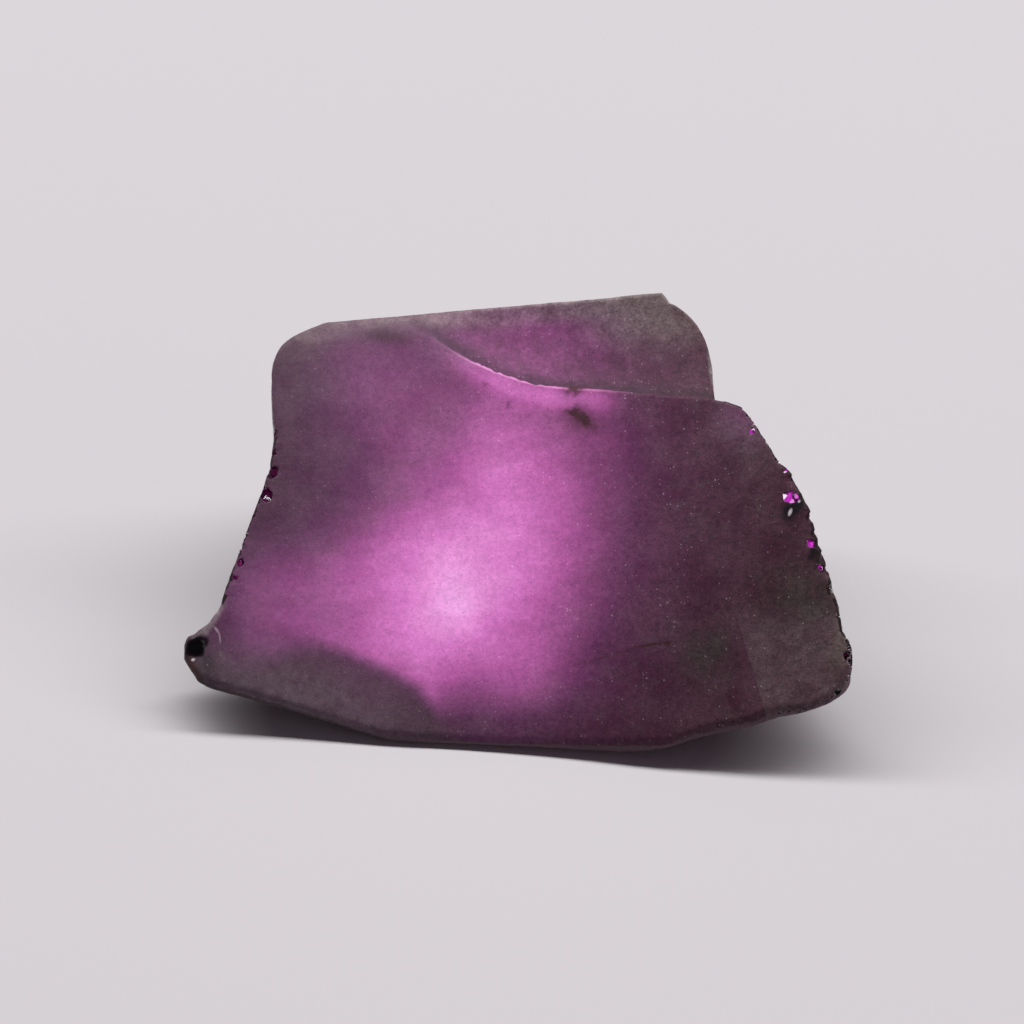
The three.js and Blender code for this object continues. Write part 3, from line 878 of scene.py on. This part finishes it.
def is_worn_rim(edge):
    """True on the chipped sides, where the frosted face meets a fracture."""
    tilts = sorted(f.normal.z for f in edge.link_faces)
    middle = (edge.verts[0].co + edge.verts[1].co) / 2 / MM
    side = (middle.x > 9.6 and -6.3 < middle.y < 4) or (middle.x < -10.5 and -4 < middle.y < 3.5)
    return side and tilts[0] < 0.35 and tilts[-1] > 0.5


cad_solid = merged_copy(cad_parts[STONE_NODE])
cad_solid.normal_update()
sharp = [e for e in cad_solid.edges if e.calc_face_angle(0) > SHARP_ANGLE]
arrises = points_along([[v.co.copy() for v in e.verts] for e in sharp], 0.03 * MM)
worn_rims = points_along([[v.co.copy() for v in e.verts] for e in sharp if is_worn_rim(e)], 0.05 * MM)
stone = even_mesh(cad_solid)


def weather(stone):
    """Gentle waves on the frosted skin, shell-shaped ripples on the fractures, and nibbled arrises."""
    mesh = stone.data
    places = np.empty(3 * len(mesh.vertices))
    normals = np.empty(3 * len(mesh.vertices))
    mesh.vertices.foreach_get("co", places)
    mesh.vertices.foreach_get("normal", normals)
    places = places.reshape(-1, 3)
    normals = normals.reshape(-1, 3)
    moves = np.empty(len(places))
    rim = mesh.attributes.new("rim", "FLOAT", "POINT").data
    for k, (co, normal) in enumerate(zip(places, normals)):
        place = Vector(co / MM)
        wall = 1 - min(1.0, abs(normal[2]) / FACE_TILT)
        swell = SWELL_HEIGHT * noise.noise(place / SWELL_WIDTH)
        swell += DIMPLE_HEIGHT * noise.noise(place / DIMPLE_WIDTH)
        shells = 2 * math.pi * (place - RIPPLE_CENTRE).length / RIPPLE_STEP
        ripple = RIPPLE_HEIGHT * math.sin(shells + RIPPLE_WANDER * noise.noise(place / WANDER_WIDTH))
        distance = worn_rims.find(co)[2] / MM
        edge = math.exp(-((distance / NIBBLE_REACH) ** 2))
        nibble = -NIBBLE_DEPTH * max(0.0, noise.noise(place / NIBBLE_WIDTH) - NIBBLE_LIMIT) * edge
        held = min(1.0, max(0.0, (place.z - RESTING_ZONE) / RESTING_BLEND))
        moves[k] = (swell + wall * ripple + nibble) * held * MM
        rim[k].value = math.exp(-((distance / RIM_REACH) ** 2))
    places += normals * moves[:, None]
    places = np.clip(places, np.array(cad_low), np.array(cad_high))
    mesh.vertices.foreach_set("co", places.ravel())
    mesh.update()


weather(stone)


# ---- The stone's chips ----

ABOVE = 30  # millimetres up, clear of the stone
RIM_LEVEL = 7  # millimetres up, about where the rims are


def face_below(x, y):
    """The stone's top at this place in plan, or None beside the stone."""
    return over_face.ray_cast(mm(x, y, ABOVE), Vector((0, 0, -1)))[0]


def rim_line(name, path, step=0.12):
    """The rim's own line, as a mesh of edges: the path's points moved to the nearest arris."""
    points = []
    for (x0, y0), (x1, y1) in zip(path[:-1], path[1:]):
        count = max(1, round(math.hypot(x1 - x0, y1 - y0) / step))
        points += [(x0 + (x1 - x0) * k / count, y0 + (y1 - y0) * k / count) for k in range(count)]
    points.append(path[-1])
    found = []
    for x, y in points:
        hit = face_below(x, y)
        point = arrises.find(hit if hit is not None else mm(x, y, RIM_LEVEL))[0]
        if not found or (point - found[-1]).length > 0.02 * MM:
            found.append(point)
    mesh = bpy.data.meshes.new(name)
    mesh.from_pydata(found, [(k, k + 1) for k in range(len(found) - 1)], [])
    line = bpy.data.objects.new(name, mesh)
    bpy.context.collection.objects.link(line)
    return line


def edge_chips_tree():
    """Many-sided lumps strung along a rim, each of which bites one chip out of it."""
    tree, given, out = new_group(
        "edge_chips",
        [("Geometry", "Geometry"), ("Spacing", "Float"), ("Smallest", "Float"), ("Largest", "Float"),
         ("Wander", "Float"), ("Outward", "Float"), ("Seed", "Int"), ("Finish", "Material")],
        [("Geometry", "Geometry")],
        "GeometryNodeTree",
    )
    rim = add(tree, "GeometryNodeMeshToCurve", {0: given["Geometry"]}).outputs[0]
    values = {"Curve": rim, "Length": given["Spacing"]}
    dots = add(tree, "GeometryNodeResampleCurve", values, mode="LENGTH").outputs[0]
    drift = add(tree, "FunctionNodeRandomValue", {"Seed": given["Seed"]}, data_type="FLOAT_VECTOR")
    drift.inputs[0].default_value = (-1, -1, -1)
    drift.inputs[1].default_value = (1, 1, 1)
    wander = scaled(tree, drift.outputs[0], given["Wander"])
    tangent = add(tree, "GeometryNodeInputTangent").outputs[0]
    outside = vector_maths(tree, "CROSS_PRODUCT", tangent, (0, 0, 1)).outputs[0]
    offset = vector_maths(tree, "ADD", wander, scaled(tree, outside, given["Outward"])).outputs[0]
    dots = add(tree, "GeometryNodeSetPosition", {"Geometry": dots, "Offset": offset}).outputs[0]
    lump = add(tree, "GeometryNodeMeshIcoSphere", {"Radius": 1.0, "Subdivisions": 1}).outputs[0]
    turn = add(tree, "FunctionNodeRandomValue", {"Seed": given["Seed"]}, data_type="FLOAT_VECTOR")
    turn.inputs[1].default_value = (6.28, 6.28, 6.28)  # up to a full turn about each axis
    size = add(tree, "FunctionNodeRandomValue", data_type="FLOAT")
    for key, label in (("Min_001", "Smallest"), ("Max_001", "Largest"), ("Seed", "Seed")):
        tree.links.new(given[label], next(s for s in size.inputs if s.identifier == key))
    shape = add(tree, "FunctionNodeRandomValue", {"Seed": given["Seed"]}, data_type="FLOAT_VECTOR")
    shape.inputs[0].default_value = (0.6, 0.6, 0.6)
    shape.inputs[1].default_value = (1.2, 1.2, 1.2)
    scale = scaled(tree, shape.outputs[0], size.outputs[1])
    values = {"Points": dots, "Instance": lump, "Rotation": turn.outputs[0], "Scale": scale}
    strung = add(tree, "GeometryNodeInstanceOnPoints", values).outputs[0]
    real = add(tree, "GeometryNodeRealizeInstances", {0: strung}).outputs[0]
    done = add(tree, "GeometryNodeSetMaterial", {"Geometry": real, "Material": given["Finish"]}).outputs[0]
    tree.links.new(done, out["Geometry"])
    return tree


def chip_lumps(name, path, spacing, smallest, largest, wander, outward, seed):
    lumps = rim_line(name, path)
    values = {
        "Spacing": spacing * MM, "Smallest": smallest * MM, "Largest": largest * MM,
        "Wander": wander * MM, "Outward": outward * MM, "Seed": seed, "Finish": FRESH_BREAK,
    }
    strung = lumps.modifiers.new("chips", "NODES")
    strung.node_group = EDGE_CHIPS
    for item in EDGE_CHIPS.interface.items_tree:
        if item.in_out == "INPUT" and item.name in values:
            strung[item.identifier] = values[item.name]
    applied(lumps)
    return lumps


def placed_lumps(name, places, finish, seed):
    """Many-sided lumps at given places on the rim, for the chips that are seen best."""
    noise.seed_set(seed)
    lumps = bmesh.new()
    for (x, y), radius in places:
        centre = face_below(x, y)
        if centre is None:
            centre = arrises.find(mm(x, y, RIM_LEVEL))[0]
        turn = noise.random_unit_vector().to_track_quat("Z", "Y").to_matrix().to_4x4()
        place = Matrix.Translation(centre) @ turn @ Matrix.Diagonal((1.15, 0.9, 0.75, 1)).to_4x4()
        bmesh.ops.create_icosphere(lumps, subdivisions=1, radius=radius * MM, matrix=place)
    mesh = bpy.data.meshes.new(name)
    lumps.to_mesh(mesh)
    lumps.free()
    mesh.materials.append(finish)
    piece = bpy.data.objects.new(name, mesh)
    bpy.context.collection.objects.link(piece)
    return piece


def bite(stone, lumps):
    cut = stone.modifiers.new("bite", "BOOLEAN")
    cut.operation = "DIFFERENCE"
    cut.solver = "MANIFOLD"
    cut.object = lumps
    cut.material_mode = "TRANSFER"
    applied(stone)
    bpy.data.objects.remove(lumps)


def is_frosted(face):
    """True for what looks up or down, and for the front's walls, which are worn as dull as the face."""
    x, y, _ = face.center / MM
    front = face.normal.y < -0.3 or (y < -7 and x < 14) or (y < -4.9 and x < -14.5)
    return abs(face.normal.z) > FACE_TILT or front


stone.data.materials.append(FROSTED_SKIN)
stone.data.materials.append(FRESH_BREAK)
for face in stone.data.polygons:
    face.use_smooth = True
    face.material_index = 0 if is_frosted(face) else 1

over_face = BVHTree.FromBMesh(cad_solid)
EDGE_CHIPS = edge_chips_tree()
# name, path, spacing, smallest, largest, wander, outward, seed
CHIP_RUNS = [
    ("right_rim_scallops", RIGHT_RIM, 1.15, 0.22, 0.42, 0.08, 0.16, 3),
    ("right_rim_chips", RIGHT_RIM, 0.55, 0.10, 0.20, 0.04, 0.05, 8),
    ("right_rim_nicks", RIGHT_RIM, 0.31, 0.05, 0.11, 0.03, 0.02, 12),
    ("lobe_rim_chips", LOBE_RIM, 0.8, 0.14, 0.28, 0.06, 0.12, 5),
    ("lobe_rim_nicks", LOBE_RIM, 0.34, 0.05, 0.11, 0.03, 0.03, 7),
    ("left_rim_chips", LEFT_RIM, 0.8, 0.10, 0.24, 0.06, 0.10, 11),
    ("left_rim_nicks", LEFT_RIM, 0.36, 0.05, 0.11, 0.03, 0.03, 2),
    ("shoulder_chips", SHOULDER_RIM, 0.7, 0.10, 0.2, 0.04, 0.08, 4),
]
for run in CHIP_RUNS:
    bite(stone, chip_lumps(*run))
bite(stone, placed_lumps("left_pits", LEFT_PITS, FRESH_BREAK, 21))
bite(stone, placed_lumps("painted_glint_chips", GLINT_CHIPS, PAINTED_GLINT_GLASS, 34))

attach(stone, "root")
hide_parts(STONE_NODE)
